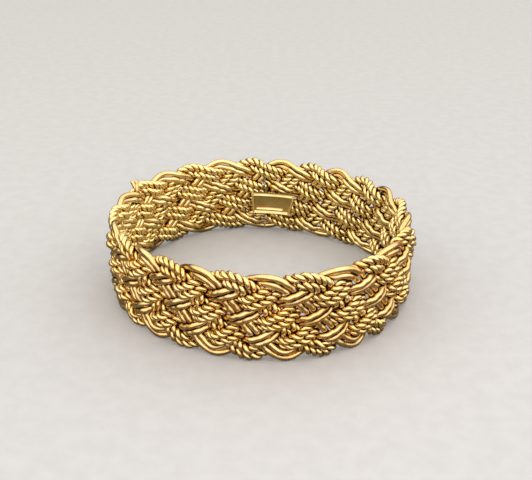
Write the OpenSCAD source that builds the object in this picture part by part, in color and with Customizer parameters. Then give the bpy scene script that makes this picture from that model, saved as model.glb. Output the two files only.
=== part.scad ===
// Braided band ring: eight flat strands plaited over one and under one into a closed band.
// Four strands are pairs of plain round wires, four are pairs of two-wire ropes, by turns.
// The ring lies on its side: Z is the finger hole's axis and the band's lower edge is at Z = 0.

/* [Band] */
// Mean radius of the band's middle line, seen from above
band_r = 9.9; // [9.6:0.1:10.4]
// Height of the band from edge to edge
band_h = 6.1; // [6:0.1:6.4]
// How far the outline swells into an oval
oval_by = 0.3; // [0:0.05:0.4]
// Direction of the oval's long way, from the front towards the right
oval_turn = 60; // [0:5:180]
// How far the outline squares off
square_by = 0.1; // [0:0.05:0.2]
// Direction of one of its four rounded corners
square_turn = 17; // [0:1:90]

/* [Braid] */
// Length along the band of a strand's steep leg, which comes down
steep_len = 5; // [4.9:0.1:5.1]
// Reach of a turn at the edge, to each side of the corner that it rounds
turn_reach = 0.95; // [0.9:0.05:1]
// How far a shallow leg swings out and in where it crosses
shallow_swing = 0.46; // [0.45:0.01:0.48]
// How far a steep leg swings out and in where it crosses
steep_swing = 0.15; // [0.14:0.01:0.18]
// How far out a strand stands in the turns at the edges
turn_swing = 0.24; // [0.2:0.01:0.24]
// Most that the hand-laid weave runs ahead of an even pitch, in degrees
drift = 2.8; // [0:0.1:3]
// Direction from which it starts to run ahead, from the front towards the left
drift_turn = 10; // [0:5:90]
// Where the weave starts at the seam, as a length along the band
weave_start = 0.9; // [0:0.1:2.3]

/* [Strands] */
// Width of a pair of plain wires
plain_w = 0.72; // [0.66:0.02:0.72]
// Thickness of a plain wire
plain_t = 0.34; // [0.3:0.01:0.34]
// Width of a pair of ropes
rope_w = 0.86; // [0.8:0.02:0.86]
// Thickness of a rope over its two twisted wires
rope_t = 0.38; // [0.34:0.01:0.38]

/* [Seam] */
// Direction of the seam, from the front towards the right
seam_angle = 178; // [174:1:182]
// Space between the cut ends that meet at the seam
seam_gap = 0.06; // [0.04:0.01:0.1]

/* [Stamp plate] */
// Width of the plate along its top side
plate_w = 3.5; // [3:0.1:3.6]
// Width of the plate along its bottom side
plate_foot_w = 3; // [2.6:0.1:3.2]
// Height of the plate
plate_h = 1.6; // [1.4:0.1:1.8]
// Thickness of the plate at its rim
plate_t = 0.32; // [0.28:0.02:0.4]
// Depth of the bare field inside the rim
field_depth = 0.12; // [0.08:0.02:0.16]
// Width of the rim
rim_w = 0.18; // [0.14:0.02:0.2]
// Direction of the plate's middle, from the front towards the right
plate_angle = 173; // [170:1:176]
// Height of the plate's middle above the band's middle
plate_rise = -0.38; // [-0.8:0.02:0]

/* [Loose end] */
// Diameter of each of the two wires that stick up
loose_d = 0.24; // [0.18:0.01:0.26]
// Length of each wire
loose_len = 0.95; // [0.7:0.05:1]
// Direction of the loose end, from the front towards the right
loose_angle = -113; // [-114:0.5:-112]

/* [Hidden] */

// Strands in the plait, each one crossing eight others on a steep or a shallow leg
strands = 8;
// Turns of all strands along one edge of the closed band
edge_turns = 26;
band_len = 2*PI*band_r;
step_len = band_len/edge_turns;
lay_len = strands*step_len;
shallow_len = lay_len - steep_len;

// How much flatter than a plain wave a shallow leg runs over the strand that it crosses
over_flat = 0.4;
// Length past the corner over which a turn stays out before it dives under the next strand
turn_hold = 0.35;

// Rings of a strand between two crossings of a shallow leg
shallow_rings = 3;
// Small length over which a strand's direction is measured
probe = 0.01;

// Space that the plate keeps from the strands behind it, and the radius that it is bent to
plate_gap = 0.04;
plate_bend_r = 10;
braid_back = shallow_swing + rope_t/2;
bar_w = 0.22;
bar_len = 2.2;
bar_drop = 0.4;

// Lean of the two loose wires out from the band and along it
loose_leans = [[30, -4], [4, -12]];
loose_foot = band_h/2 - 0.5;
loose_out = -0.2;

gold = [0.87, 0.68, 0.32];
rope_gold = [0.80, 0.60, 0.26];
plate_gold = [0.90, 0.76, 0.42];
round_fn = 24;

// Radius of the band's middle line at angle a, counted from the front towards the right
function band_radius(a) = band_r + oval_by*cos(2*(a - oval_turn)) + square_by*cos(4*(a - square_turn));

// Change of that radius for each radian of angle
function radius_slope(a) = -2*oval_by*sin(2*(a - oval_turn)) - 4*square_by*sin(4*(a - square_turn));

// Direction straight out of the band at angle a
function out_dir(a) =
    let (r = band_radius(a), s = radius_slope(a), n = [r*sin(a) - s*cos(a), -r*cos(a) - s*sin(a), 0])
    n/norm(n);

// Point at angle a, a distance out from the middle line and a height above the band's middle
function band_point(a, out, rise) =
    band_radius(a)*[sin(a), -cos(a), 0] + out*out_dir(a) + [0, 0, band_h/2 + rise];

// Angle at a length run from the seam along the band
function run_angle(run) =
    let (a = seam_angle - 360 + 360*run/band_len)
    a - drift*sin(a + drift_turn);

// Place within one zigzag of a strand, from its corner at the top edge
function in_lay(q) = q - lay_len*floor(q/lay_len);

// Height of the line of a strand of width w above the band's middle
function lay_rise(q, w) =
    let (m = in_lay(q),
         corner = (band_h - w)/(2 - 4*turn_reach/lay_len),
         steep = -2*corner/steep_len,
         shallow = 2*corner/shallow_len,
         leg = m < steep_len ? corner + steep*m : -corner + shallow*(m - steep_len),
         low = max(0, turn_reach - abs(m - steep_len)),
         high = max(0, turn_reach - min(m, lay_len - m)))
    leg + (shallow - steep)/(4*turn_reach)*(low*low - high*high);

// Number of crossings passed on a leg
function steep_count(m) = strands*m/steep_len;
function shallow_count(m) = strands*(m - steep_len)/shallow_len;

// A wave with flattened tops
function flat_wave(c) = c*(1 + over_flat - over_flat*c*c);

// A smooth change from one value to another as part goes from 0 to 1
function ease(from, to, part) = (from + to)/2 + (from - to)/2*cos(180*part);

// Swing in a turn, at a length past its corner towards the shallow leg
function turn_out(past) =
    past < turn_hold ? ease(steep_swing, turn_swing, (past + steep_len/8)/(turn_hold + steep_len/8))
    : ease(turn_swing, -shallow_swing, (past - turn_hold)/(shallow_len/8 - turn_hold));

// Swing out of the band: over at every second crossing and under between them
function lay_out(q) =
    let (m = in_lay(q),
         past_low = m - steep_len,
         past_high = m < steep_len ? -m : lay_len - m)
    past_low > -steep_len/8 && past_low < shallow_len/8 ? turn_out(past_low)
    : past_high > -steep_len/8 && past_high < shallow_len/8 ? turn_out(past_high)
    : m < steep_len ? -steep_swing*cos(180*steep_count(m))
    : shallow_swing*flat_wave(cos(180*shallow_count(m)));

// Point on a strand, at a length run from the seam
function strand_point(run, start, w) =
    band_point(run_angle(run), lay_out(run + start), lay_rise(run + start, w));

// Two lobes side by side, as [across, out] pairs
function pair_section(w, t) =
    [[w/2, 0], [w/4, t/2], [0, t/6], [-w/4, t/2], [-w/2, 0], [-w/4, -t/2], [0, -t/6], [w/4, -t/2]];

// The section set square to the strand, flat in the band
function strand_ring(run, start, w, section) =
    let (here = strand_point(run, start, w),
         ahead = strand_point(run + probe, start, w) - strand_point(run - probe, start, w),
         along = ahead/norm(ahead),
         side = cross(out_dir(run_angle(run)), along),
         across = side/norm(side),
         out = cross(along, across))
    [for (p = section) here + p.x*across + p.y*out];

// Length from a corner to the very edge of the rounded turn
edge_shift = turn_reach*(shallow_len - steep_len)/lay_len;

// Places of the rings in one zigzag: one at each steep crossing, several between shallow ones
lay_places = concat(
    [for (i = [0 : strands]) i*steep_len/strands],
    [steep_len + edge_shift],
    [for (i = [2 : strands*shallow_rings - 2]) steep_len + i*shallow_len/(strands*shallow_rings)],
    [lay_len - edge_shift]);

// Lengths run from the seam at which a strand has its rings
function strand_runs(start) =
    let (first = seam_gap/2, last = band_len - seam_gap/2, apart = 0.2)
    concat([first],
        [for (turn = [-2 : 5], place = lay_places)
            let (run = turn*lay_len + place - start)
            if (run > first + apart && run < last - apart) run],
        [last]);

// One strand, swept from one side of the seam right round to the other
module swept_strand(place, w, t) {
    start = weave_start - place*step_len;
    runs = strand_runs(start);
    section = pair_section(w, t);
    n = len(section);
    last = len(runs) - 1;
    points = [for (run = runs) each strand_ring(run, start, w, section)];
    sides = [for (i = [0 : last - 1], k = [0 : n - 1])
        let (j = (k + 1) % n)
        [i*n + k, (i + 1)*n + k, (i + 1)*n + j, i*n + j]];
    caps = [[for (k = [0 : n - 1]) k], [for (k = [n - 1 : -1 : 0]) last*n + k]];
    polyhedron(points = points, faces = concat(sides, caps), convexity = 12);
}

module plain_strand(number) {
    color(gold) swept_strand(2*(number - 1), plain_w, plain_t);
}

module rope_strand(number) {
    color(rope_gold) swept_strand(2*number - 1, rope_w, rope_t);
}

// Part of a bent sheet inside an outline seen from inside the ring, by its depth range from the back face
module bent_slab(near, far) {
    intersection() {
        rotate([90, 0, 90]) linear_extrude(2*plate_bend_r) children();
        rotate_extrude(angle = 360, $fn = 12*round_fn)
            translate([plate_bend_r - far, -plate_h])
                square([far - near, 2*plate_h]);
    }
}

// Outline of the plate, a little narrower at its foot, drawn in by an inset on all sides
module plate_outline(inset) {
    top = [plate_w/2 - inset, plate_h/2 - inset];
    foot = [plate_foot_w/2 - inset, inset - plate_h/2];
    polygon([[-top.x, top.y], [-foot.x, foot.y], foot, top]);
}

// Thin plate for a stamp, soldered inside the band over the seam; its field is bare
module hallmark_plate() {
    out = out_dir(plate_angle);
    back = band_point(plate_angle, -braid_back - plate_gap, plate_rise);
    color(plate_gold)
        translate(back - plate_bend_r*out)
            rotate([0, 0, atan2(out.y, out.x)]) {
                difference() {
                    bent_slab(0, plate_t) plate_outline(0);
                    bent_slab(plate_t - field_depth, 2*plate_t) plate_outline(rim_w);
                }
                bent_slab(plate_t - 1.5*field_depth, plate_t)
                    translate([-bar_len/2, -bar_drop - bar_w/2]) square([bar_len, bar_w]);
            }
}

module loose_wire(lean) {
    rotate([lean[0], lean[1], 0]) {
        cylinder(d = loose_d, h = loose_len, $fn = round_fn);
        translate([0, 0, loose_len]) sphere(d = loose_d, $fn = round_fn);
    }
}

// Cut end of a twisted pair that stands up from the top edge, its two wires sprung apart
module loose_wire_end() {
    color(rope_gold)
        translate(band_point(loose_angle, loose_out, loose_foot))
            rotate([0, 0, loose_angle]) {
                sphere(d = loose_d, $fn = round_fn);
                for (lean = loose_leans) loose_wire(lean);
            }
}

plain_strand(1);  // plain_strand_1
plain_strand(2);  // plain_strand_2
plain_strand(3);  // plain_strand_3
plain_strand(4);  // plain_strand_4
rope_strand(1);  // rope_strand_1
rope_strand(2);  // rope_strand_2
rope_strand(3);  // rope_strand_3
rope_strand(4);  // rope_strand_4
hallmark_plate();
loose_wire_end();
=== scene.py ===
"""Looks of a braided gold band ring: eight strands plaited over one and under one into a closed band.

Four strands are pairs of plain round wires and four are pairs of two-wire ropes. Lengths are in metres, +Z is
the finger hole's axis, and the seam with its stamp plate is at the back, +Y.
"""

import math

import bpy
import numpy as np
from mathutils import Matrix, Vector


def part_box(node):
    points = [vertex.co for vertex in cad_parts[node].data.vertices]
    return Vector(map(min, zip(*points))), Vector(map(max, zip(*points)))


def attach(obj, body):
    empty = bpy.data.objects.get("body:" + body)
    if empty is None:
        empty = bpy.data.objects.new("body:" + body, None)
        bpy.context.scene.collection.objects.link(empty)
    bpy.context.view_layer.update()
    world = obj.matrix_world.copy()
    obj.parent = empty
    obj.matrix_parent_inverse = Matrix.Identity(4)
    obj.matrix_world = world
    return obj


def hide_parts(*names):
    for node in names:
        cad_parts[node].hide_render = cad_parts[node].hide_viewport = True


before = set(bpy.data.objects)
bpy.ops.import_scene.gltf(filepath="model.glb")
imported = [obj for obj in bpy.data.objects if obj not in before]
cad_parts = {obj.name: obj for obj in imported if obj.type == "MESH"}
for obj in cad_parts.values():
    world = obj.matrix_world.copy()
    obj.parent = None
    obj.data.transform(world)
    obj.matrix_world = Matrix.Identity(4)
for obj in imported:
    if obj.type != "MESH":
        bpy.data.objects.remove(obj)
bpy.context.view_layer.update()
BAND_FOOT, BAND_TOP = (corner.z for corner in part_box("plain_strand_1"))

bl_info = {
    "name": "Braided Band Ring",
    "version": (1, 0, 0),
    "blender": (4, 5, 0),
    "location": "View3D > Sidebar > Braided Ring",
    "description": "Builds the wires, stamp plate and finish of a braided gold band ring",
    "category": "Object",
}

MM = 0.001
STRANDS_OF_A_KIND = 4
STRANDS = 2 * STRANDS_OF_A_KIND
EDGE_TURNS = 26


# Sizes and colours that a user would change


def length(name, description, default):
    """A length property, in metres."""
    return bpy.props.FloatProperty(
        name=name, description=description, default=default, unit="LENGTH", subtype="DISTANCE", precision=6
    )


def angle(name, description, degrees):
    """An angle property, kept in radians."""
    return bpy.props.FloatProperty(
        name=name, description=description, default=math.radians(degrees), unit="ROTATION", subtype="ANGLE"
    )


def share(name, description, default):
    """A plain share from 0 to 1."""
    return bpy.props.FloatProperty(
        name=name, description=description, default=default, min=0.0, max=1.0, subtype="FACTOR"
    )


def tint(name, description, default):
    """A linear colour."""
    return bpy.props.FloatVectorProperty(
        name=name, description=description, default=default, size=3, min=0.0, max=1.0, subtype="COLOR"
    )


class BandShape(bpy.types.PropertyGroup):
    """Outline of the band, seen from above."""

    radius: length("Radius", "Mean radius of the band's middle line", 9.9 * MM)
    height: length("Height", "Height of the band from edge to edge", BAND_TOP - BAND_FOOT)
    oval: length("Oval", "How far the outline swells into an oval", 0.3 * MM)
    oval_turn: angle("Oval direction", "Direction of the oval's long way, from the front to the right", 60)
    square: length("Squareness", "How far the outline squares off", 0.1 * MM)
    square_turn: angle("Corner direction", "Direction of one of the four rounded corners", 17)
    seam: angle("Seam", "Direction of the seam, from the front towards the right", 178)
    seam_gap: length("Seam gap", "Space between the cut ends that meet at the seam", 0.06 * MM)


class WeaveShape(bpy.types.PropertyGroup):
    """Path of a strand through the weave."""

    steep_leg: length("Steep leg", "Length along the band of a strand's steep leg", 5.0 * MM)
    turn_reach: length("Turn reach", "Reach of a turn at the edge, to each side of its corner", 1.15 * MM)
    plain_swing: length("Plain swing", "Swing of a plain strand's shallow leg where it crosses", 0.28 * MM)
    rope_swing: length("Rope swing", "Swing of a rope strand's shallow leg where it crosses", 0.26 * MM)
    steep_swing: length("Steep swing", "Swing of a steep leg where it crosses", 0.08 * MM)
    turn_swing: length("Turn swing", "How far out a strand stands in the turns at the edges", 0.15 * MM)
    turn_hold: length("Turn hold", "Length past the corner over which a turn stays out", 0.35 * MM)
    over_flat: share("Flat tops", "How much flatter than a plain wave a shallow leg runs over a strand", 0.35)
    drift: angle("Drift", "Most that the hand-laid weave runs ahead of an even pitch", 2.8)
    drift_turn: angle("Drift direction", "Direction from which it starts to run ahead", 10)
    start: length("Start", "Where the weave starts at the seam, as a length along the band", 0.9 * MM)


class WireSizes(bpy.types.PropertyGroup):
    """Gauges of the wires and their lay in a strand."""

    plain_wire: length("Plain wire", "Diameter of a plain wire", 0.395 * MM)
    plain_apart: length("Plain spacing", "Distance between the two plain wires' middles", 0.46 * MM)
    rope_wire: length("Rope wire", "Diameter of one wire of a rope", 0.31 * MM)
    rope_apart: length("Rope spacing", "Distance between the two ropes' middles", 0.61 * MM)
    twist_pitch: length("Twist pitch", "Length of rope in which its wires turn once", 0.97 * MM)
    wander: length("Hand-laid wander", "How far a wire strays from its even line", 0.02 * MM)


class PlateShape(bpy.types.PropertyGroup):
    """The stamp plate inside the band, over the seam."""

    turn: angle("Direction", "Direction of the plate's middle, from the front towards the right", 173)
    rise: length("Rise", "Height of the plate's middle above the band's middle", -0.45 * MM)
    back: length("Back", "Distance from the band's middle line in to the plate's back", 0.69 * MM)
    bend: length("Bend radius", "Radius that the plate is bent to", 10 * MM)
    top_width: length("Top width", "Width of the plate along its top side", 3.5 * MM)
    foot_width: length("Foot width", "Width of the plate along its bottom side", 3.0 * MM)
    height: length("Height", "Height of the plate", 1.74 * MM)
    thickness: length("Thickness", "Thickness of the plate at its rim", 0.32 * MM)
    field_depth: length("Field depth", "Depth of the bare field inside the rim", 0.12 * MM)
    rim: length("Rim width", "Width of the rim", 0.25 * MM)
    bar_drop: length("Bar drop", "How far the raised bar lies below the plate's middle", 0.45 * MM)
    bar_length: length("Bar length", "Length of the raised bar", 2.2 * MM)


class LooseEndShape(bpy.types.PropertyGroup):
    """The cut end of a twisted pair that stands up from the top edge."""

    turn: angle("Direction", "Direction of the loose end, from the front towards the right", -113)
    out: length("Out", "Distance of its foot out from the band's middle line", -0.2 * MM)
    foot: length("Foot", "Height of its foot above the band's middle", 2.55 * MM)
    reach: length("Length", "Length of each of its two wires", 0.95 * MM)
    wire: length("Wire", "Diameter of each wire", 0.29 * MM)


class GoldFinish(bpy.types.PropertyGroup):
    """Colours of the gold, of the painted shade and tarnish in its recesses, and of the painted light on its
    inner sides.
    """

    gold: tint("Gold", "Polished yellow gold", (0.93, 0.64, 0.23))
    rope_gold: tint("Rope gold", "Gold of the thin rope wires", (0.93, 0.63, 0.22))
    plate_gold: tint("Plate gold", "Gold of the stamp plate", (0.95, 0.71, 0.30))
    # Paler gold of the inner sides: partly the finger's rubbing, partly painted light where the inside is
    # brighter lit
    rubbed_and_lit_gold: tint("Rubbed and lit gold", "Pale gold of the wires' sides that the finger rubs", (0.97, 0.80, 0.36))
    # Dark colour of the painted shade between the wires, with the tarnish that settles there
    shade_and_tarnish: tint("Shade And Tarnish", "Brown tarnish in the recesses", (0.040, 0.014, 0.004))
    # Dark olive of the plate's field: partly its dull finish, partly painted shade
    field: tint("Plate field", "Dull olive of the plate's field", (0.36, 0.26, 0.08))
    # Reddish film of painted shade round the recess shade, with tarnish, and how far the painted shade
    # spreads
    red_shade_and_tarnish: tint("Red shade and tarnish", "Reddish film at the edge of the tarnish", (0.55, 0.26, 0.13))
    shade_and_tarnish_amount: share("Tarnish amount", "How far the tarnish spreads out of the recesses", 0.5)
    wear: share("Wear", "How marked and dented the gold is", 0.9)


class StageSettings(bpy.types.PropertyGroup):
    """Camera and floor."""

    camera_turn: angle("Camera elevation", "Angle at which the camera looks down", 25.69)
    camera_far: length("Camera distance", "Distance from the camera to the point it looks at", 63.87 * MM)
    aim_x: length("Aim X", "Sideways place of the point the camera looks at", 0.374 * MM)
    aim_y: length("Aim Y", "Depth of the point the camera looks at", 1.126 * MM)
    aim_z: length("Aim Z", "Height of the point the camera looks at", 3.05 * MM)
    lens: bpy.props.FloatProperty(
        name="Lens", description="Focal length in millimetres on a 36 mm sensor", default=59.86, unit="CAMERA"
    )


# The plait's geometry


def band_radius(band, turn):
    """Radius of the band's middle line at an angle counted from the front towards the right."""
    return (
        band.radius
        + band.oval * np.cos(2 * (turn - band.oval_turn))
        + band.square * np.cos(4 * (turn - band.square_turn))
    )


def out_direction(band, turn):
    """Direction straight out of the band."""
    r = band_radius(band, turn)
    twice, four_times = 2 * (turn - band.oval_turn), 4 * (turn - band.square_turn)
    slope = -2 * band.oval * np.sin(twice) - 4 * band.square * np.sin(four_times)
    sin, cos = np.sin(turn), np.cos(turn)
    return unit(np.stack([r * sin - slope * cos, -r * cos - slope * sin, 0 * turn], axis=-1))


def run_angle(band, weave, run):
    """Angle at a length run from the seam along the band."""
    even = band.seam - 2 * math.pi + run / band.radius
    return even - weave.drift * np.sin(even + weave.drift_turn)


class Lay:
    """Zigzag of one kind of strand between the band's edges, with its swing in and out."""

    def __init__(self, band, weave, width, swing):
        self.band, self.weave, self.width, self.swing = band, weave, width, swing
        self.length = STRANDS * 2 * math.pi * band.radius / EDGE_TURNS
        self.shallow = self.length - weave.steep_leg

    def rise(self, place):
        """Height above the band's middle at a place within one zigzag."""
        weave = self.weave
        corner = (self.band.height - self.width) / (2 - 4 * weave.turn_reach / self.length)
        down, up = -2 * corner / weave.steep_leg, 2 * corner / self.shallow
        past = place - weave.steep_leg
        leg = np.where(past < 0, corner + down * place, -corner + up * past)
        low = np.maximum(0, weave.turn_reach - abs(past))
        high = np.maximum(0, weave.turn_reach - np.minimum(place, self.length - place))
        return leg + (up - down) / (4 * weave.turn_reach) * (low**2 - high**2)

    def turn_out(self, past):
        """Swing in a turn, at a length past its corner towards the shallow leg."""
        weave = self.weave
        before = weave.steep_leg / STRANDS
        after = self.shallow / STRANDS
        held = ease(weave.steep_swing, weave.turn_swing, (past + before) / (weave.turn_hold + before))
        dive = ease(weave.turn_swing, -self.swing, (past - weave.turn_hold) / (after - weave.turn_hold))
        return np.where(past < weave.turn_hold, held, dive)

    def out(self, place):
        """Swing out of the band: over at every second crossing and under between them."""
        weave = self.weave
        steep = -weave.steep_swing * np.cos(math.pi * STRANDS * place / weave.steep_leg)
        wave = np.cos(math.pi * STRANDS * (place - weave.steep_leg) / self.shallow)
        shallow = self.swing * wave * (1 + weave.over_flat - weave.over_flat * wave**2)
        swing = np.where(place < weave.steep_leg, steep, shallow)
        for past in (place - weave.steep_leg, np.where(place < weave.steep_leg, -place, self.length - place)):
            inside = (past > -weave.steep_leg / STRANDS) & (past < self.shallow / STRANDS)
            swing = np.where(inside, self.turn_out(past), swing)
        return swing

    def line(self, run, order):
        """Middle line of the strand that comes at a place in the strands' order, at lengths from the seam."""
        start = self.weave.start - order * self.length / STRANDS
        place = np.mod(run + start, self.length)
        turn = run_angle(self.band, self.weave, run)
        r = band_radius(self.band, turn)
        up = self.band.height / 2 + self.rise(place)
        middle = np.stack([r * np.sin(turn), -r * np.cos(turn), up], axis=-1)
        return middle + self.out(place)[:, None] * out_direction(self.band, turn)


def ease(start, end, part):
    """A smooth change from start to end as part goes from 0 to 1."""
    return (start + end) / 2 + (start - end) / 2 * np.cos(math.pi * part)


def unit(v):
    """Vectors scaled to length one."""
    return v / np.linalg.norm(v, axis=-1, keepdims=True)


def evenly_spaced(line, step, run):
    """The same line with its points a step apart, and its run values at them."""
    gaps = np.linalg.norm(np.diff(line, axis=0), axis=1)
    along = np.concatenate([[0], np.cumsum(gaps)])
    places = np.linspace(0, along[-1], int(round(along[-1] / step)) + 1)
    spaced = np.stack([np.interp(places, along, line[:, axis]) for axis in range(3)], axis=-1)
    return spaced, np.interp(places, along, run)


def line_frames(band, line):
    """Directions along a line, across it in the band, and out of the band."""
    along = unit(np.gradient(line, axis=0))
    turn = np.arctan2(line[:, 0], -line[:, 1])
    across = unit(np.cross(out_direction(band, turn), along))
    return along, across, np.cross(along, across)


def slow_noise(count, step, wave, generator):
    """Smooth random values about 0, spread by about 1, that change over a wave's length and close up."""
    knots = generator.standard_normal(int(round(count * step / wave)))
    at = np.arange(count) * len(knots) / count
    low = at.astype(int)
    part = ease(0.0, 1.0, at - low)
    return knots[low] * (1 - part) + knots[(low + 1) % len(knots)] * part


# Wires settled against each other


class Carrier:
    """A plain wire or a rope through all four strands of its kind, as one closed line with a radius."""

    def __init__(self, kind, line, run, radius):
        self.kind, self.line, self.run, self.radius = kind, line, run, radius


WANDER_SEED, TWIST_SEED = 7, 11
# Points of an even line as it is laid, and the length over which a wire's wander changes
LAID_POINTS, WANDER_WAVE = 16000, 2.2 * MM
# Space between a settling line's points, number of rounds, and how many of these are the last, gentle ones
SETTLE_STEP, SETTLE_ROUNDS, LAST_ROUNDS = 0.1 * MM, 120, 30
# Rounds between two searches for neighbours, how far off these are looked for, and the points along its own
# line within which a wire or rope doesn't meet itself
SEARCH_EVERY, SETTLE_REACH, SELF_CLEAR = 30, 0.78 * MM, 14
# Shares of the way that a round pulls a point tight, that a last round does, and back to its even place
SETTLE_TENSION, LAST_TENSION, SETTLE_HOLD = 0.1, 0.04, 0.02
# Multiple of the mean of its pushes by which a round moves a point
SETTLE_PUSH = 1.6
# Share of its radius at which a wire or rope stops another, so that they bed into each other
BEDDING = {"plain": 0.96, "rope": 0.86}


def laid_carriers(band, weave, wires):
    """Every plain wire and every rope on its even line in the weave, before it settles.

    A strand that reaches the seam goes on there as the strand before it, so the four strands of a kind are
    one closed line, which goes four times round the band.
    """
    generator = np.random.default_rng(WANDER_SEED)
    band_length = 2 * math.pi * band.radius
    run = np.linspace(0, STRANDS_OF_A_KIND * band_length, LAID_POINTS + 1)[:-1]
    carriers = []
    kinds = (
        ("plain", weave.plain_swing, wires.plain_apart, wires.plain_wire, STRANDS - 2),
        ("rope", weave.rope_swing, wires.rope_apart, 2 * wires.rope_wire, STRANDS - 1),
    )
    for kind, swing, apart, thick, order in kinds:
        lay = Lay(band, weave, apart + thick, swing)
        middle, spaced_run = evenly_spaced(lay.line(run, order), SETTLE_STEP, run)
        across = line_frames(band, middle)[1]
        for side in (-1, 1):
            stray = wires.wander * slow_noise(len(middle), SETTLE_STEP, WANDER_WAVE, generator)
            line = middle + (side * apart / 2 + stray)[:, None] * across
            carriers.append(Carrier(kind, line, spaced_run, thick / 2))
    return carriers


def near_pairs(points, reach):
    """Index pairs of points closer than a reach, found through a grid of cells."""
    cells = np.floor((points - points.min(0)) / reach).astype(np.int64) + 1
    wide = cells.max(0) + 2
    code = (cells[:, 0] * wide[1] + cells[:, 1]) * wide[2] + cells[:, 2]
    order = np.argsort(code, kind="stable")
    ranked = code[order]
    found = []
    for dx, dy, dz in np.array(list(np.ndindex(3, 3, 3))) - 1:
        other = code + (dx * wide[1] + dy) * wide[2] + dz
        first, last = np.searchsorted(ranked, other), np.searchsorted(ranked, other, side="right")
        count = last - first
        one = np.repeat(np.arange(len(points)), count)
        offset = np.arange(count.sum()) - np.repeat(np.cumsum(count) - count, count)
        two = order[np.repeat(first, count) + offset]
        keep = one < two
        found.append(np.stack([one[keep], two[keep]]))
    one, two = np.concatenate(found, axis=1)
    close = np.sum((points[one] - points[two]) ** 2, axis=1) < reach**2
    return one[close], two[close]


def settle(carriers):
    """Pulls the wires tight and pushes them apart where they would run through each other."""
    points = np.concatenate([c.line for c in carriers])
    laid = points.copy()
    sizes = np.array([len(c.line) for c in carriers])
    owner = np.repeat(np.arange(len(carriers)), sizes)
    full = np.repeat([c.radius for c in carriers], sizes)
    radius = np.repeat([BEDDING[c.kind] * c.radius for c in carriers], sizes)
    size, first = sizes[owner], (np.cumsum(sizes) - sizes)[owner]
    at = np.arange(len(points)) - first
    before, after = first + (at - 1) % size, first + (at + 1) % size
    for turn in range(SETTLE_ROUNDS):
        if turn % SEARCH_EVERY == 0:
            one, two = near_pairs(points, SETTLE_REACH)
            along = (at[one] - at[two]) % size[one]
            along = np.minimum(along, size[one] - along)
            free = (owner[one] != owner[two]) | (along > SELF_CLEAR)
            one, two = one[free], two[free]
            reach = radius[one] + radius[two]
        tension = SETTLE_TENSION if turn < SETTLE_ROUNDS - LAST_ROUNDS else LAST_TENSION
        pull = tension * (points[before] + points[after] - 2 * points)
        points = points + pull + SETTLE_HOLD * (laid - points)
        gap = points[two] - points[one]
        far = np.linalg.norm(gap, axis=1)
        hit = far < reach
        push = (0.5 * (reach[hit] - far[hit]) / np.maximum(far[hit], 1e-9))[:, None] * gap[hit]
        one_hit, two_hit, every = one[hit], two[hit], len(points)
        count = np.bincount(one_hit, minlength=every) + np.bincount(two_hit, minlength=every)
        for axis in range(3):
            shift = push[:, axis]
            moved = np.bincount(two_hit, shift, every) - np.bincount(one_hit, shift, every)
            points[:, axis] += SETTLE_PUSH * moved / np.maximum(count, 1)
        points[:, 2] = np.clip(points[:, 2], BAND_FOOT + full, BAND_TOP - full)
    for c, start in zip(carriers, np.cumsum(sizes) - sizes):
        c.line = points[start : start + len(c.line)]
    return carriers


# Tube meshes


class Wire:
    """One round wire: its middle line, radius, and the strand that it belongs to.

    Its tube is an array of rings of points, each with its shade and how far it faces into the band. counts
    says at each point of the line whether it shades other wires, as its ends past the seam don't.
    """

    def __init__(self, kind, strand, line, radius, sides, counts=1.0):
        self.kind, self.strand, self.line, self.radius, self.sides = kind, strand, line, radius, sides
        self.step = np.linalg.norm(line[1] - line[0])
        self.counts = counts
        self.tube = None


# Space between a plain wire's rings and its sides, and a rope wire's rings in one turn and its sides
PLAIN_STEP, PLAIN_SIDES = 0.085 * MM, 14
TWIST_STEPS, TWIST_SIDES = 17, 9
# Turn by which each rope starts ahead of the one before it, in radians
TWIST_START = 0.37
# How far the hand twist runs ahead or behind, in turns, and the length over which that changes
TWIST_STRAY, STRAY_WAVE = 0.09, 1.5 * MM
# Length past the seam that a wire keeps before it is sawn off there
SEAM_SPARE = 1.2 * MM


def drawn_wires(band, wires, carriers):
    """The round wires of each strand, a little past the seam at both ends.

    A rope's two wires are wound round its line.
    """
    made = []
    generator = np.random.default_rng(TWIST_SEED)
    band_length = 2 * math.pi * band.radius
    whole = STRANDS_OF_A_KIND * band_length
    for number, c in enumerate(carriers):
        line = np.concatenate([c.line, c.line, c.line])
        run = np.concatenate([c.run - whole, c.run, c.run + whole])
        for lap in range(STRANDS_OF_A_KIND):
            strand = STRANDS_OF_A_KIND - 1 - lap
            start, end = lap * band_length, (lap + 1) * band_length
            mine = (run > start - SEAM_SPARE) & (run < end + SEAM_SPARE)
            step = PLAIN_STEP if c.kind == "plain" else wires.twist_pitch / TWIST_STEPS
            thread, place = evenly_spaced(line[mine], step, run[mine])
            counts = (place > start) & (place < end)
            if c.kind == "plain":
                made.append(Wire("plain", strand, thread, c.radius, PLAIN_SIDES, counts))
                continue
            across, out = line_frames(band, thread)[1:]
            stray = TWIST_STRAY * slow_noise(len(thread), step, STRAY_WAVE, generator)
            turn = 2 * math.pi * (np.arange(len(thread)) / TWIST_STEPS + TWIST_START * (number + lap) + stray)
            for half in (0, math.pi):
                wound = np.cos(turn + half)[:, None] * across + np.sin(turn + half)[:, None] * out
                radius = wires.rope_wire / 2
                made.append(Wire("rope", strand, thread + radius * wound, radius, TWIST_SIDES, counts))
    return made


# A direction that no wire of the ring follows, from which the rings of its tube are turned
NEARLY_UP = np.array([0.01, 0.01, 1.01])


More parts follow.
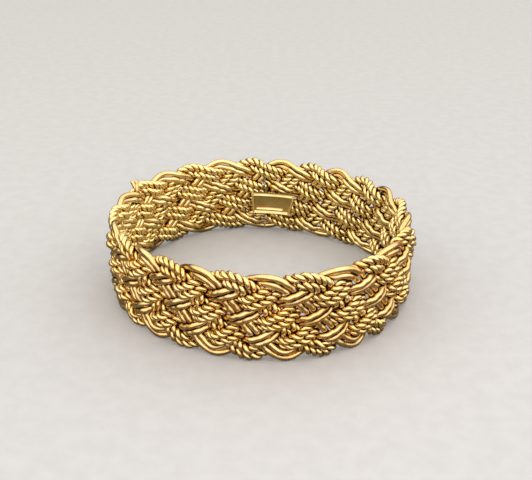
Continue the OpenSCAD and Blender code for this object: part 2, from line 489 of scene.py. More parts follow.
def tube(wire):
    """Rings of points round a wire, and each point's direction away from the wire's middle."""
    along = unit(np.gradient(wire.line, axis=0))
    side = unit(np.cross(along, NEARLY_UP))
    for i in range(1, len(side)):
        side[i] = side[i - 1] - along[i] * (side[i - 1] @ along[i])
        side[i] /= math.sqrt(side[i] @ side[i])
    up = np.cross(along, side)
    turn = 2 * math.pi * np.arange(wire.sides) / wire.sides
    away = np.cos(turn)[None, :, None] * side[:, None] + np.sin(turn)[None, :, None] * up[:, None]
    return wire.line[:, None] + wire.radius * away, away


def seam_faces(band, weave):
    """A point on each side of the saw cut at the seam, with the direction along the band there."""
    turn = run_angle(band, weave, np.zeros(1))
    r = band_radius(band, turn)
    point = np.array([r[0] * math.sin(turn[0]), -r[0] * math.cos(turn[0]), 0.0])
    out = out_direction(band, turn)[0]
    along = np.array([-out[1], out[0], 0.0])
    return point + band.seam_gap / 2 * along, point - band.seam_gap / 2 * along, along


# The cut is looked for in this part of a tube's rings, and its slant is spread over this many rings past it
CUT_WITHIN, CUT_SPREAD = 1 / 8, 3


def sawn(rings, face, inwards):
    """A tube's rings with the first end cut flat at the seam's face, from where inwards points into it."""
    height = (rings[: int(len(rings) * CUT_WITHIN), :, :3] - face) @ inwards
    side = np.arange(rings.shape[1])
    under = np.argmax(height > 0, axis=0) - 1
    cut = under + height[under, side] / (height[under, side] - height[under + 1, side])
    keep = int(under.max()) + CUT_SPREAD
    count = int(math.ceil(keep - cut.min()))
    new = []
    for j in range(count):
        at = cut + (keep - cut) * j / count
        low = np.floor(at).astype(int)
        part = (at - low)[:, None]
        new.append(rings[low, side] * (1 - part) + rings[low + 1, side] * part)
    return np.concatenate([np.array(new), rings[keep:]])


def tube_faces(rings, sides):
    """Quads between the rings of a tube."""
    i, k = np.meshgrid(np.arange(rings - 1), np.arange(sides), indexing="ij")
    low, high, j = i * sides, (i + 1) * sides, (k + 1) % sides
    return np.stack([low + k, low + j, high + j, high + k], axis=-1).reshape(-1, 4)


# How far off a wire still shades, the nearest that counts, and how far round a point's side it does
CREVICE_REACH, CREVICE_NEAREST, CREVICE_WRAP = 0.42 * MM, 0.09 * MM, 0.15
# How much of the painted shade the inner side loses, partly to the finger's rubbing and partly as painted
# light, and how much more it loses at the left than at the back, as painted light; at the right it gains
# painted shade
INSIDE_RUB_AND_LIGHT, LEFT_LIGHT_DRIFT = 0.35, 0.55


def shade_tubes(band, wires):
    """Gives each wire its tube, with a shade that grows from 0 as other wires stand closer round a point.

    The shade is painted shade, with the tarnish that goes with it. The side that faces into the band counts
    for less, most of all at the ring's left, and for more at its right: partly the finger's rubbing, partly
    painted light.
    """
    centres = np.concatenate([w.line for w in wires])
    owner = np.concatenate([np.full(len(w.line), i) for i, w in enumerate(wires)])
    size = np.concatenate([w.radius * w.step * w.counts for w in wires])
    one, two = near_pairs(centres, CREVICE_REACH)
    apart = owner[one] != owner[two]
    one, two = one[apart], two[apart]
    one, two = np.concatenate([one, two]), np.concatenate([two, one])
    order = np.argsort(one, kind="stable")
    one, two = one[order], two[order]
    first = 0
    for w in wires:
        last = first + len(w.line)
        low, high = np.searchsorted(one, (first, last))
        points, away = tube(w)
        ring, other = one[low:high] - first, two[low:high]
        shade = np.zeros((len(w.line), w.sides, 1))
        for k in range(w.sides):
            to = centres[other] - points[ring, k]
            far = np.maximum(np.linalg.norm(to, axis=1), CREVICE_NEAREST)
            facing = np.maximum(0, np.sum(to * away[ring, k], axis=1) / far + CREVICE_WRAP)
            shade[:, k, 0] = np.bincount(ring, facing * size[other] / far**2, len(w.line))
        turn = np.arctan2(w.line[:, 0], -w.line[:, 1])
        out = out_direction(band, turn)[:, None]
        # Painted light on the inner side: it loses painted shade, most of all at the left
        rub_and_light = (INSIDE_RUB_AND_LIGHT - LEFT_LIGHT_DRIFT * np.sin(turn))[:, None, None]
        inside = 0.5 - 0.5 * np.sum(away * out, axis=-1, keepdims=True)
        w.tube = np.concatenate([points, shade * (1 - rub_and_light * inside), inside], axis=-1)
        first = last


def wire_mesh(name, wires):
    """One mesh of several wires with closed ends, with the length along each and the turn round it as UVs."""
    points, faces, uv, caps, first = [], [], [], [], 0
    for w in wires:
        rings = len(w.tube)
        points.append(w.tube.reshape(-1, 5))
        quads = tube_faces(rings, w.sides)
        faces.append(quads + first)
        along = w.step * np.arange(rings) / MM
        corner_ring, corner_side = quads // w.sides, quads % w.sides
        corner_side = np.where((corner_side == 0) & (np.array([0, 1, 1, 0]) == 1), w.sides, corner_side)
        uv.append(np.stack([along[corner_ring], corner_side / w.sides], axis=-1).reshape(-1, 2))
        ring = np.arange(w.sides)
        caps += [ring[::-1] + first, ring + first + (rings - 1) * w.sides]
        first += rings * w.sides
    return made_mesh(name, np.concatenate(points), np.concatenate(faces), np.concatenate(uv), caps)


def made_mesh(name, points, quads, uv, caps):
    """A mesh of smooth quads and flat caps, of points with a shade and a share that faces into the band."""
    mesh = bpy.data.meshes.new(name)
    mesh.vertices.add(len(points))
    mesh.vertices.foreach_set("co", points[:, :3].astype(np.float32).ravel())
    loops = np.concatenate([quads.ravel(), *caps])
    mesh.loops.add(len(loops))
    mesh.loops.foreach_set("vertex_index", loops.astype(np.int32))
    sizes = np.concatenate([np.full(len(quads), 4), [len(c) for c in caps]])
    mesh.polygons.add(len(sizes))
    mesh.polygons.foreach_set("loop_start", (np.cumsum(sizes) - sizes).astype(np.int32))
    smooth = np.ones(len(sizes), bool)
    smooth[len(quads) :] = False
    mesh.polygons.foreach_set("use_smooth", smooth)
    every_uv = np.concatenate([uv, np.zeros((len(loops) - len(uv), 2))])
    mesh.uv_layers.new(name="UVMap").data.foreach_set("uv", every_uv.astype(np.float32).ravel())
    for column, label in ((3, "shade"), (4, "inside")):
        values = points[:, column].astype(np.float32)
        mesh.attributes.new(label, "FLOAT", "POINT").data.foreach_set("value", values)
    mesh.update()
    mesh.validate()
    return mesh


made_wires = {}


def ring_wires(scene):
    """Every wire of the ring with its tube, worked out once for each set of sizes."""
    band, weave, sizes = scene.braid_band, scene.braid_weave, scene.braid_wires
    asked = tuple(getattr(part, key) for part in (band, weave, sizes) for key in type(part).__annotations__)
    if asked not in made_wires:
        wires = drawn_wires(band, sizes, settle(laid_carriers(band, weave, sizes)))
        shade_tubes(band, wires)
        first_face, last_face, along = seam_faces(band, weave)
        for w in wires:
            w.tube = sawn(w.tube, first_face, along)
            w.tube = sawn(w.tube[::-1], last_face, -along)[::-1]
        made_wires.clear()
        made_wires[asked] = wires
    return made_wires[asked]


# Stamp plate and loose end


def band_place(band, turn, out, rise):
    """A point by its direction, its distance out of the band's middle line and its rise, and the way out."""
    turn = np.array([turn])
    r, way = band_radius(band, turn)[0], out_direction(band, turn)[0]
    middle = np.array([r * math.sin(turn[0]), -r * math.cos(turn[0]), BAND_FOOT + band.height / 2 + rise])
    return middle + out * way, way


def bead(edge, width):
    """Height share of a half-round bead of a width, at a distance in from its outer edge."""
    across = np.clip(edge / (width / 2) - 1, -1, 1)
    return np.sqrt(np.maximum(0, 1 - across**2)) * (edge > 0)


# Shares of a lip's width in which it slopes up and drops, and how round its slopes are
LIP_UP, LIP_DOWN, LIP_ROUND = 0.78, 0.22, 0.6


def lip(below, width):
    """Height share of a lip of a width that slopes up from its top side and drops at its lower side."""
    part = np.clip(np.minimum(below / (LIP_UP * width), (width - below) / (LIP_DOWN * width)), 0, 1)
    return part * (1 + LIP_ROUND - LIP_ROUND * part)


PLATE_COLUMNS, PLATE_ROWS = 120, 120
# How far the mesh crowds towards the plate's rims, as the angle of a sine
CROWDING = 1.45
# The bar's shift along the plate, its width, and the length over which its ends run out
BAR_SHIFT, BAR_WIDTH, BAR_RUN_OUT = 0.16 * MM, 0.19 * MM, 0.075 * MM
# Width of the round bead along the plate's left and right sides
SIDE_BEAD = 0.2 * MM
# The hand-cut plate's shift along the band at its middle, and how much of it is lost up to its top
PLATE_SHIFT, PLATE_LEAN = 0.12 * MM, 0.1 * MM
# Painted shade and dullness of the field at its middle, and how much the painted shade grows up to its top,
# under the rim
FIELD_SHADE, FIELD_DARKENING = 0.72, 0.2


def plate_mesh(name, band, plate):
    """The bent plate: rounded sides, a sloping lip at top and foot, a sunk bare field and a raised bar."""
    foot, out = band_place(band, plate.turn, -plate.back, plate.rise)
    side = np.array([-out[1], out[0], 0.0])
    centre = foot - plate.bend * out
    u, v = np.meshgrid(np.linspace(-1, 1, PLATE_COLUMNS), np.linspace(-1, 1, PLATE_ROWS), indexing="ij")
    u, v = np.sin(u * CROWDING) / math.sin(CROWDING), np.sin(v * CROWDING) / math.sin(CROWDING)
    half_height = plate.height / 2
    half_width = (plate.foot_width + (plate.top_width - plate.foot_width) * (v + 1) / 2) / 2
    x, y = u * half_width, v * half_height
    along_bar = np.clip((plate.bar_length / 2 - abs(x - BAR_SHIFT)) / BAR_RUN_OUT, 0, 1)
    raised = np.maximum.reduce(
        [
            bead(half_width - abs(x), SIDE_BEAD),
            lip(half_height - y, plate.rim),
            lip(plate.rim - half_height - y, plate.rim),
            along_bar * lip(BAR_WIDTH / 2 - plate.bar_drop - y, BAR_WIDTH),
        ]
    )
    depth = plate.thickness - plate.field_depth * (1 - raised)
    leant = x + PLATE_SHIFT - PLATE_LEAN * v
    front = bent(centre, out, side, plate.bend, leant, y, depth)
    back = bent(centre, out, side, plate.bend, leant, y, 0 * depth)
    # Painted shade in the sunk field, darker towards its top under the rim; the raised rims and bar get none
    shade = (FIELD_SHADE + FIELD_DARKENING * v) * (1 - raised)
    inside = np.ones_like(shade)
    points = np.concatenate([np.dstack([sheet, shade, inside]).reshape(-1, 5) for sheet in (front, back)])
    corner = np.arange(PLATE_COLUMNS * PLATE_ROWS).reshape(PLATE_COLUMNS, PLATE_ROWS)
    low = corner[:-1, :-1].reshape(-1)
    faces = np.stack([low, low + 1, low + PLATE_ROWS + 1, low + PLATE_ROWS], axis=-1)
    behind = faces[:, ::-1] + corner.size
    loop = np.concatenate([corner[:-1, 0], corner[-1, :-1], corner[:0:-1, -1], corner[0, :0:-1]])
    after = np.roll(loop, -1)
    sides = np.stack([loop, after, after + corner.size, loop + corner.size], axis=-1)
    quads = np.concatenate([faces, behind, sides])
    flat = np.stack([x, y], axis=-1).reshape(-1, 2) / MM
    return made_mesh(name, points, quads, flat[quads % corner.size].reshape(-1, 2), [])


def bent(centre, out, side, radius, x, y, depth):
    """Points of a bent sheet by their place in it and their depth in from its back."""
    reach = np.sqrt((radius - depth) ** 2 - x**2)
    return centre + reach[..., None] * out + x[..., None] * side + y[..., None] * np.array([0.0, 0.0, 1.0])


# Each wire's lean out of the band and along it in degrees, its shift along the band, and how far it is nipped
LOOSE_LAY = (((28, -3), -0.05 * MM, 0.0), ((9, -12), 0.03 * MM, 0.45))
# How much of a wire's length it also reaches down into the plait, and its painted shade at its foot, where it
# goes in among the wires
LOOSE_SUNK, LOOSE_SHADE = 0.35, 1.1
LOOSE_POINTS, LOOSE_SIDES = 40, 16
# How far a wire's bow holds it back at its foot, and the share of it from which its tip is nipped
LOOSE_BOW, NIP_FROM = 0.18, 0.72
# How much wider and how much thinner a full nip makes a tip, in radii
NIP_SPREAD, NIP_SQUEEZE = 1.2, 0.5
# How far the last three rings of a wire are drawn in
TIP_ROUNDING = np.array([0.0, 0.12, 0.5])[:, None, None]


def loose_wires(band, end):
    """The two cut wires of the loose end, sprung apart; the second is nipped flat at its tip."""
    foot, out = band_place(band, end.turn, end.out, end.foot)
    along = np.array([-out[1], out[0], 0.0])
    wires = []
    part = np.linspace(-LOOSE_SUNK, 1, LOOSE_POINTS)[:, None]
    for leans, shift, nip in LOOSE_LAY:
        lean_out, lean_along = np.radians(leans)
        up = math.cos(lean_out)
        tip = math.sin(lean_out) * out + up * math.sin(lean_along) * along
        tip = tip + np.array([0, 0, up * math.cos(lean_along)])
        bow = 1 - LOOSE_BOW + LOOSE_BOW * part
        line = foot + end.reach * part * tip * bow + shift * (1 - part) * along
        wire = Wire("loose", 0, line, end.wire / 2, LOOSE_SIDES)
        points, away = tube(wire)
        spread = nip * np.clip((part - NIP_FROM) / (1 - NIP_FROM), 0, 1)[:, :, None]
        flat = (away @ along)[..., None] * along
        points = points + wire.radius * spread * (NIP_SPREAD * flat - NIP_SQUEEZE * (away - flat))
        points[-3:] -= (points[-3:] - line[-3:, None]) * TIP_ROUNDING
        # Painted shade, darkest at the foot and gone at the tip
        shade = np.broadcast_to(LOOSE_SHADE * (1 - part)[:, :, None] ** 2, (*points.shape[:2], 1))
        wire.tube = np.concatenate([points, shade, 0 * shade], axis=-1)
        wires.append(wire)
    return wires


# Shader node groups


def group(name, inputs, outputs):
    """A new shader node group with named float, vector and colour sockets, and its two end nodes."""
    tree = bpy.data.node_groups.new(name, "ShaderNodeTree")
    kinds = {"float": "NodeSocketFloat", "vector": "NodeSocketVector", "color": "NodeSocketColor"}
    for label, kind, default in inputs:
        socket = tree.interface.new_socket(name=label, in_out="INPUT", socket_type=kinds[kind])
        socket.default_value = default
    for label, kind in outputs:
        tree.interface.new_socket(name=label, in_out="OUTPUT", socket_type=kinds[kind])
    return tree, tree.nodes.new("NodeGroupInput"), tree.nodes.new("NodeGroupOutput")


def add(tree, kind, settings=(), values=()):
    """A node with its settings and the values of its input sockets."""
    node = tree.nodes.new(kind)
    for key, value in dict(settings).items():
        setattr(node, key, value)
    for key, value in dict(values).items():
        node.inputs[key].default_value = value
    return node


def join(tree, start, end):
    """A link from an output socket to an input socket."""
    tree.links.new(start, end)


def noise(tree, place, scale, detail=3.0, rough=0.55):
    """Value of a noise texture at a place."""
    node = add(tree, "ShaderNodeTexNoise", values={"Scale": scale, "Detail": detail, "Roughness": rough})
    join(tree, place, node.inputs["Vector"])
    return node.outputs["Fac"]


def mapped(tree, value, low, high, to_low=0.0, to_high=1.0):
    """A value mapped smoothly from one range to another and kept inside it."""
    node = add(
        tree,
        "ShaderNodeMapRange",
        {"interpolation_type": "SMOOTHSTEP", "clamp": True},
        {"From Min": low, "From Max": high, "To Min": to_low, "To Max": to_high},
    )
    join(tree, value, node.inputs["Value"])
    return node.outputs["Result"]


def worked(tree, operation, one, two):
    """The result of an operation on two sockets or numbers."""
    node = add(tree, "ShaderNodeMath", {"operation": operation})
    for i, part in enumerate((one, two)):
        if isinstance(part, (int, float)):
            node.inputs[i].default_value = part
        else:
            join(tree, part, node.inputs[i])
    return node.outputs["Value"]


# Places of the colour sockets among a Mix node's sockets, which share their names
MIX_COLORS, MIX_RESULT = (6, 7), 2


def mixed(tree, factor, one, two, blend="MIX"):
    """A mix of two colours, each a socket or a colour."""
    node = add(tree, "ShaderNodeMix", {"data_type": "RGBA", "blend_type": blend})
    join(tree, factor, node.inputs["Factor"])
    for part, place in zip((one, two), MIX_COLORS):
        if isinstance(part, bpy.types.NodeSocket):
            join(tree, part, node.inputs[place])
        else:
            node.inputs[place].default_value = (*part, 1.0)
    return node.outputs[MIX_RESULT]


# Size of the broad patches in the painted shade and tarnish, and the shares of fine grain and patches in its
# edge
PATCH_SCALE, GRAIN_SHARE, PATCH_SHARE, EDGE_MIDDLE = 420.0, 0.7, 0.9, 0.3
# Shades past the start between which the painted shade and tarnish grow full, and between which the reddish
# film of painted shade does
SHADE_AND_TARNISH_GROWS, RED_SHADE_FILM_GROWS = (0.0, 0.6), (-0.35, 0.3)


def recess_shade_and_tarnish_group():
    """Mask of the painted shade and tarnish between wires, and of the reddish film of painted shade round it.
    """
    tree, inside, outside = group(
        "Recess shade and tarnish",
        [
            ("Shade", "float", 0.0),
            ("Amount", "float", 0.5),
            ("Start", "float", 0.5),
            ("Grain", "float", 2500.0),
        ],
        [("Shade And Tarnish", "float"), ("Red Shade Film", "float")],
    )
    place = add(tree, "ShaderNodeTexCoord").outputs["Object"]
    grain = add(tree, "ShaderNodeTexNoise", values={"Detail": 4.0, "Roughness": 0.6})
    join(tree, place, grain.inputs["Vector"])
    join(tree, inside.outputs["Grain"], grain.inputs["Scale"])
    fine = worked(tree, "MULTIPLY", grain.outputs["Fac"], GRAIN_SHARE)
    broad = worked(tree, "MULTIPLY", noise(tree, place, PATCH_SCALE), PATCH_SHARE)
    uneven = worked(tree, "ADD", worked(tree, "ADD", fine, broad), -EDGE_MIDDLE)
    reach = worked(tree, "MULTIPLY", inside.outputs["Amount"], uneven)
    shaded = worked(tree, "ADD", inside.outputs["Shade"], reach)
    lifted = worked(tree, "SUBTRACT", shaded, inside.outputs["Start"])
    join(tree, mapped(tree, lifted, *SHADE_AND_TARNISH_GROWS), outside.inputs["Shade And Tarnish"])
    join(tree, mapped(tree, lifted, *RED_SHADE_FILM_GROWS), outside.inputs["Red Shade Film"])
    return tree


# Drawing marks to a millimetre along the wire and to a turn round it
DRAWN_MARKS = (1.4, 26.0, 1.0)
# Size of the rubbed patches and the noise values at their edge, and size of the dents
RUBBED_SCALE, RUBBED_EDGE, DENT_SCALE = 1500.0, (0.35, 0.75), 3800.0
# Roughness that full wear adds, and that the full mask of painted shade and tarnish adds
WEAR_ROUGHNESS, SHADE_AND_TARNISH_ROUGHNESS = 0.16, 0.32
DENT_SHARE, MARK_SHARE = 0.7, 0.3


def worn_metal_group():
    """Roughness and height of worn, hand-drawn metal: fine marks along the wire and small dents."""
    tree, inside, outside = group(
        "Worn metal",
        [
            ("Along", "vector", (0.0, 0.0, 0.0)),
            ("Smoothness", "float", 0.16),
            ("Wear", "float", 0.5),
            ("Shade And Tarnish", "float", 0.0),
        ],
        [("Roughness", "float"), ("Height", "float")],
    )
    stretch = add(tree, "ShaderNodeVectorMath", {"operation": "MULTIPLY"})
    join(tree, inside.outputs["Along"], stretch.inputs[0])
    stretch.inputs[1].default_value = DRAWN_MARKS
    drawn = noise(tree, stretch.outputs["Vector"], scale=1.0, detail=4.0, rough=0.7)
    place = add(tree, "ShaderNodeTexCoord").outputs["Object"]
    rubbed = mapped(tree, noise(tree, place, RUBBED_SCALE, rough=0.6), *RUBBED_EDGE)
    dents = noise(tree, place, DENT_SCALE, detail=2.0, rough=0.5)
    marks = worked(tree, "MULTIPLY", worked(tree, "ADD", rubbed, drawn), WEAR_ROUGHNESS)
    worn = worked(tree, "MULTIPLY", marks, inside.outputs["Wear"])
    dull = worked(tree, "MULTIPLY", inside.outputs["Shade And Tarnish"], SHADE_AND_TARNISH_ROUGHNESS)
    clean = worked(tree, "ADD", inside.outputs["Smoothness"], worn)
    join(tree, worked(tree, "ADD", clean, dull), outside.inputs["Roughness"])
    dented = worked(tree, "MULTIPLY", dents, DENT_SHARE)
    shape = worked(tree, "ADD", dented, worked(tree, "MULTIPLY", drawn, MARK_SHARE))
    join(tree, worked(tree, "MULTIPLY", shape, inside.outputs["Wear"]), outside.inputs["Height"])
    return tree


# Change of colour in the gold's paler patches, their size and the noise values at their edge
PALER = {"Hue": 0.505, "Saturation": 0.86, "Value": 1.06}
PALER_SCALE, PALER_EDGE = 650.0, (0.35, 0.7)
# Strength of the reddish film of painted shade
RED_SHADE_FILM_STRENGTH = 0.4


def gold_tone_group():
    """Colour of gold with paler patches, paler inner sides of painted light and rubbing, a reddish film of
    painted shade, and painted shade and tarnish in the recesses.
    """
    tree, inside, outside = group(
        "Gold tone",
        [
            ("Gold", "color", (0.9, 0.62, 0.23, 1.0)),
            ("Shade And Tarnish Color", "color", (0.1, 0.05, 0.02, 1.0)),
            ("Red Shade Film Color", "color", (0.6, 0.2, 0.06, 1.0)),
            ("Rubbed And Lit Color", "color", (0.97, 0.8, 0.36, 1.0)),
            ("Shade And Tarnish", "float", 0.0),
            ("Red Shade Film", "float", 0.0),
            ("Rubbed And Lit", "float", 0.0),
        ],
        [("Color", "color")],
    )
    place = add(tree, "ShaderNodeTexCoord").outputs["Object"]
    patch = mapped(tree, noise(tree, place, PALER_SCALE, detail=4.0, rough=0.6), *PALER_EDGE)
    pale = add(tree, "ShaderNodeHueSaturation", values=PALER)
    join(tree, inside.outputs["Gold"], pale.inputs["Color"])
    worn = mixed(tree, patch, inside.outputs["Gold"], pale.outputs["Color"])
    # Paler inner sides: partly the finger's rubbing, partly painted light
    base = mixed(tree, inside.outputs["Rubbed And Lit"], worn, inside.outputs["Rubbed And Lit Color"])
    # Reddish film of painted shade at the recesses' edge, then the painted shade and tarnish
    red_shade_film = worked(tree, "MULTIPLY", inside.outputs["Red Shade Film"], RED_SHADE_FILM_STRENGTH)
    red_shade_filmed = mixed(tree, red_shade_film, base, inside.outputs["Red Shade Film Color"], "MULTIPLY")
    tone = mixed(tree, inside.outputs["Shade And Tarnish"], red_shade_filmed, inside.outputs["Shade And Tarnish Color"])
    join(tree, tone, outside.inputs["Color"])
    return tree


def placed(tree, name, make, values):
    """A node group placed in a material with its own values. It is made when a material first asks for it."""
    node_tree = bpy.data.node_groups.get(name) or make()
    return add(tree, "ShaderNodeGroup", {"node_tree": node_tree}, values)


# Shares of facing into the band between which a wire's side turns pale, and how pale it turns: partly painted
# light, partly the finger's rubbing
PALE_FROM, PALE_TO, PALE_MOST = 0.4, 1.0, 0.85


def gold_material(name, finish, color, dark, grain, start, smoothness, bump, rubbed=PALE_MOST):
    """Polished, worn gold with painted shade and tarnish in its recesses.

    grain is the scale of the grain of the painted shade and tarnish, start the shade at which they begin,
    dark their colour, rubbed how pale the inner sides turn as painted light, and bump the depth of the dents.
    """
    if name in bpy.data.materials:
        return bpy.data.materials[name]
    material = bpy.data.materials.new(name)
    material.use_nodes = True
    tree = material.node_tree
    shader = tree.nodes["Principled BSDF"]
    shader.inputs["Metallic"].default_value = 1.0
    shade = add(tree, "ShaderNodeAttribute", {"attribute_name": "shade"})
    spread = {"Amount": finish.shade_and_tarnish_amount, "Start": start, "Grain": grain}
    shade_and_tarnish = placed(tree, "Recess shade and tarnish", recess_shade_and_tarnish_group, spread)
    join(tree, shade.outputs["Fac"], shade_and_tarnish.inputs["Shade"])
    worn = {"Smoothness": smoothness, "Wear": finish.wear}
    metal = placed(tree, "Worn metal", worn_metal_group, worn)
    join(tree, add(tree, "ShaderNodeUVMap", {"uv_map": "UVMap"}).outputs["UV"], metal.inputs["Along"])
    join(tree, shade_and_tarnish.outputs["Shade And Tarnish"], metal.inputs["Shade And Tarnish"])
    colors = {
        "Gold": (*color, 1.0),
        "Shade And Tarnish Color": (*dark, 1.0),
        "Red Shade Film Color": (*finish.red_shade_and_tarnish, 1.0),
        "Rubbed And Lit Color": (*finish.rubbed_and_lit_gold, 1.0),
    }
    tone = placed(tree, "Gold tone", gold_tone_group, colors)
    join(tree, shade_and_tarnish.outputs["Shade And Tarnish"], tone.inputs["Shade And Tarnish"])
    join(tree, shade_and_tarnish.outputs["Red Shade Film"], tone.inputs["Red Shade Film"])
    # Painted light and rubbing: the sides that face into the band turn paler
    inward = add(tree, "ShaderNodeAttribute", {"attribute_name": "inside"})
    join(tree, mapped(tree, inward.outputs["Fac"], PALE_FROM, PALE_TO, 0.0, rubbed), tone.inputs["Rubbed And Lit"])
    join(tree, tone.outputs["Color"], shader.inputs["Base Color"])
    join(tree, metal.outputs["Roughness"], shader.inputs["Roughness"])
    height = add(tree, "ShaderNodeBump", values={"Strength": 1.0, "Distance": bump})
    join(tree, metal.outputs["Height"], height.inputs["Height"])
    join(tree, height.outputs["Normal"], shader.inputs["Normal"])
    return material


def plain_gold(finish):
    """Gold of the plain wires."""
    look = {"grain": 2400.0, "start": 0.30, "smoothness": 0.14, "bump": 0.009 * MM}
    return gold_material("plain wire gold", finish, finish.gold, finish.shade_and_tarnish, **look)


def rope_gold(finish):
    """Gold of the twisted wires, darker between them with painted shade and tarnish."""
    look = {"grain": 3200.0, "start": 0.85, "smoothness": 0.15, "bump": 0.008 * MM}
    return gold_material("rope wire gold", finish, finish.rope_gold, finish.shade_and_tarnish, **look)


def plate_gold(finish):
    """Gold of the stamp plate, dull and dark in its field: partly a dull finish, partly painted shade."""
    look = {"grain": 1400.0, "start": 0.55, "smoothness": 0.22, "bump": 0.014 * MM, "rubbed": 0.0}
    return gold_material("plate gold", finish, finish.plate_gold, finish.field, **look)


# Pieces


def show(name, mesh, material):
    """A new object in the scene with one material."""
    mesh.materials.append(material)
    piece = bpy.data.objects.new(name, mesh)
    bpy.context.scene.collection.objects.link(piece)
    return piece


def stand_for(piece, node):
    """Lets a piece of the ring stand for a CAD node."""
    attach(piece, "root")
    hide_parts(node)


def show_strands(scene, kind, material):
    """The four strands of a kind, each one mesh in place of its plain solid."""
    wires = [w for w in ring_wires(scene) if w.kind == kind]
    for strand in range(STRANDS_OF_A_KIND):
        node = f"{kind}_strand_{strand + 1}"
        mesh = wire_mesh(node + "_wires", [w for w in wires if w.strand == strand])
        stand_for(show(node + "_wires", mesh, material), node)


class BRAID_OT_plain_strands(bpy.types.Operator):
    """Build the four strands of two plain round wires"""

    bl_idname = "braid.plain_strands"
    bl_label = "Plain Strands"

    def execute(self, context):
        show_strands(context.scene, "plain", plain_gold(context.scene.braid_finish))
        return {"FINISHED"}


class BRAID_OT_rope_strands(bpy.types.Operator):
    """Build the four strands of two ropes, each of two twisted wires"""

    bl_idname = "braid.rope_strands"
    bl_label = "Rope Strands"

    def execute(self, context):
        show_strands(context.scene, "rope", rope_gold(context.scene.braid_finish))
        return {"FINISHED"}


class BRAID_OT_stamp_plate(bpy.types.Operator):
    """Build the bare stamp plate inside the band"""

    bl_idname = "braid.stamp_plate"
    bl_label = "Stamp Plate"

    def execute(self, context):
        scene = context.scene
        mesh = plate_mesh("stamp_plate", scene.braid_band, scene.braid_plate)
        stand_for(show("stamp_plate", mesh, plate_gold(scene.braid_finish)), "hallmark_plate")
        return {"FINISHED"}


class BRAID_OT_loose_end(bpy.types.Operator):
    """Build the loose cut end of a rope at the top edge"""

    bl_idname = "braid.loose_end"
    bl_label = "Loose Wire End"

    def execute(self, context):
        scene = context.scene
        mesh = wire_mesh("loose_end", loose_wires(scene.braid_band, scene.braid_loose_end))
        stand_for(show("loose_end", mesh, rope_gold(scene.braid_finish)), "loose_wire_end")
        return {"FINISHED"}


# The floor is so wide that its far side lies at the horizon
FLOOR_SIZE = 8000 * MM
# Width of the camera's sensor in millimetres, and the nearest and farthest distance that the camera sees
SENSOR, CLIP = 36, (0.5 * MM, 8000 * MM)
# Each softbox's name, its place and size in metres, its power in watts and its colour
SOFTBOXES = (
    ("key softbox", (0.03, -0.06, 0.08), (0.15, 0.09), 0.03, (0.84, 0.80, 1.0)),
    ("side softbox", (-0.08, -0.03, 0.07), (0.08, 0.08), 0.01, (1.0, 0.96, 0.90)),
)
# The two tones of the floor's grain, its scale and the noise values between which it changes
PAPER = (0.51, 0.497, 0.475), (0.54, 0.527, 0.505)
PAPER_SCALE, PAPER_EDGE = 900.0, (0.3, 0.7)
# Painted reflection: what the gold mirrors of the floor, warm and brighter inside the ring and dark outside
# it, and where that changes
MIRRORED = (0.36, 0.33, 0.24), (0.09, 0.075, 0.055)
MIRRORED_EDGE = (7 * MM, 10 * MM)
# Direction of the studio's bright side, and the strength of its light far from there and near it
BRIGHT_WAY = (0.25, -0.34, 0.91)
BRIGHT_EDGE, STRENGTHS = (-0.16, 0.38), (0.02, 1.42)


def placed_at(name, data, place, back):
    """A new camera or light object at a place, with its back turned in a direction."""
    made = bpy.data.objects.new(name, data)
    made.location = place
    made.rotation_mode = "QUATERNION"
    made.rotation_quaternion = back.to_track_quat("Z", "Y")
    bpy.context.scene.collection.objects.link(made)
    return made


def softbox(aim, name, place, size, power, color):
    """A rectangular area light that faces a point."""
    light = bpy.data.lights.new(name, "AREA")
    light.shape = "RECTANGLE"
    light.size, light.size_y = size
    light.energy = power
    light.color = color
    placed_at(name, light, place, Vector(place) - aim)


def floor_material():
    """Pale, even paper, which the gold mirrors darker."""
    material = bpy.data.materials.new("pale floor")
    material.use_nodes = True
    tree = material.node_tree
    shader = tree.nodes["Principled BSDF"]
    place = add(tree, "ShaderNodeTexCoord").outputs["Object"]
    grain = mapped(tree, noise(tree, place, PAPER_SCALE), *PAPER_EDGE)
    pale = mixed(tree, grain, *PAPER)
    far = add(tree, "ShaderNodeVectorMath", {"operation": "LENGTH"})
    join(tree, place, far.inputs[0])
    around = mapped(tree, far.outputs["Value"], *MIRRORED_EDGE)
    mirrored = mixed(tree, around, *MIRRORED)
    # The gold mirrors the painted reflection; the camera sees the pale paper
    rays = add(tree, "ShaderNodeLightPath").outputs["Is Glossy Ray"]
    join(tree, mixed(tree, rays, pale, mirrored), shader.inputs["Base Color"])
    shader.inputs["Roughness"].default_value = 0.7
    return material


def studio_world():
    """A soft studio: bright overhead and in front, dark low down behind."""
    world = bpy.data.worlds.new("studio")
    world.use_nodes = True
    tree = world.node_tree
    place = add(tree, "ShaderNodeTexCoord").outputs["Generated"]
    lit = add(tree, "ShaderNodeVectorMath", {"operation": "DOT_PRODUCT"})
    join(tree, place, lit.inputs[0])
    lit.inputs[1].default_value = BRIGHT_WAY
    glow = mapped(tree, lit.outputs["Value"], *BRIGHT_EDGE, *STRENGTHS)
    backdrop = tree.nodes["Background"]
    backdrop.inputs["Color"].default_value = (1.0, 0.985, 0.96, 1.0)
    join(tree, glow, backdrop.inputs["Strength"])
    return world


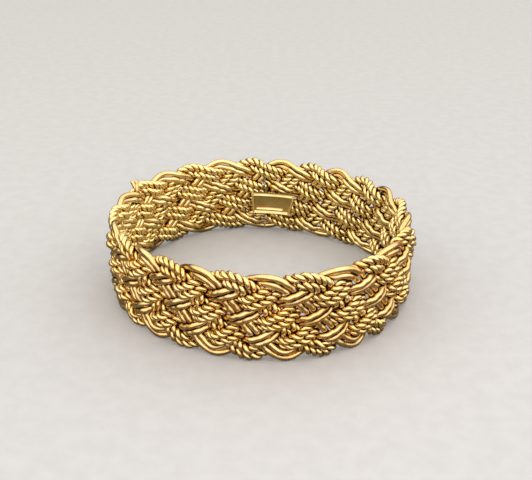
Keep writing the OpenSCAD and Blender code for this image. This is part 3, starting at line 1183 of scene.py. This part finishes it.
class BRAID_OT_stage(bpy.types.Operator):
    """Set the floor, lights and camera"""

    bl_idname = "braid.stage"
    bl_label = "Stage"

    def execute(self, context):
        scene = context.scene
        stage = scene.braid_stage
        mesh = bpy.data.meshes.new("floor")
        half = FLOOR_SIZE / 2
        corners = [(-half, -half, 0), (half, -half, 0), (half, half, 0), (-half, half, 0)]
        mesh.from_pydata(corners, [], [(0, 1, 2, 3)])
        show("floor", mesh, floor_material())

        aim = Vector((stage.aim_x, stage.aim_y, stage.aim_z))
        back = Vector((0, -math.cos(stage.camera_turn), math.sin(stage.camera_turn)))
        camera = bpy.data.cameras.new("camera")
        camera.lens = stage.lens
        camera.sensor_width = SENSOR
        camera.clip_start, camera.clip_end = CLIP
        scene.camera = placed_at("camera", camera, aim + stage.camera_far * back, back)

        scene.world = studio_world()
        for values in SOFTBOXES:
            softbox(aim, *values)
        scene.view_settings.view_transform = "Standard"
        return {"FINISHED"}


class BRAID_PT_ring(bpy.types.Panel):
    """Panel that lists the ring's pieces"""

    bl_idname = "BRAID_PT_ring"
    bl_label = "Braided Band Ring"
    bl_space_type = "VIEW_3D"
    bl_region_type = "UI"
    bl_category = "Braided Ring"

    def draw(self, context):
        for name, settings in SETTINGS.items():
            box = self.layout.box()
            box.label(text=name.removeprefix("braid_").replace("_", " ").title())
            for key in settings.__annotations__:
                box.prop(getattr(context.scene, name), key)
        for operator in OPERATORS:
            self.layout.operator(operator.bl_idname)


SETTINGS = {
    "braid_band": BandShape,
    "braid_weave": WeaveShape,
    "braid_wires": WireSizes,
    "braid_plate": PlateShape,
    "braid_loose_end": LooseEndShape,
    "braid_finish": GoldFinish,
    "braid_stage": StageSettings,
}
OPERATORS = (
    BRAID_OT_plain_strands,
    BRAID_OT_rope_strands,
    BRAID_OT_stamp_plate,
    BRAID_OT_loose_end,
    BRAID_OT_stage,
)
CLASSES = (*SETTINGS.values(), *OPERATORS, BRAID_PT_ring)


def register():
    """Add the add-on's classes and settings to Blender."""
    for cls in CLASSES:
        bpy.utils.register_class(cls)
    for name, settings in SETTINGS.items():
        setattr(bpy.types.Scene, name, bpy.props.PointerProperty(type=settings))


def unregister():
    """Remove the add-on's classes and settings from Blender."""
    for name in SETTINGS:
        delattr(bpy.types.Scene, name)
    for cls in reversed(CLASSES):
        bpy.utils.unregister_class(cls)


def main():
    """Build every piece and the stage."""
    register()
    bpy.ops.braid.plain_strands()
    bpy.ops.braid.rope_strands()
    bpy.ops.braid.stamp_plate()
    bpy.ops.braid.loose_end()
    bpy.ops.braid.stage()


if __name__ == "__main__":
    main()
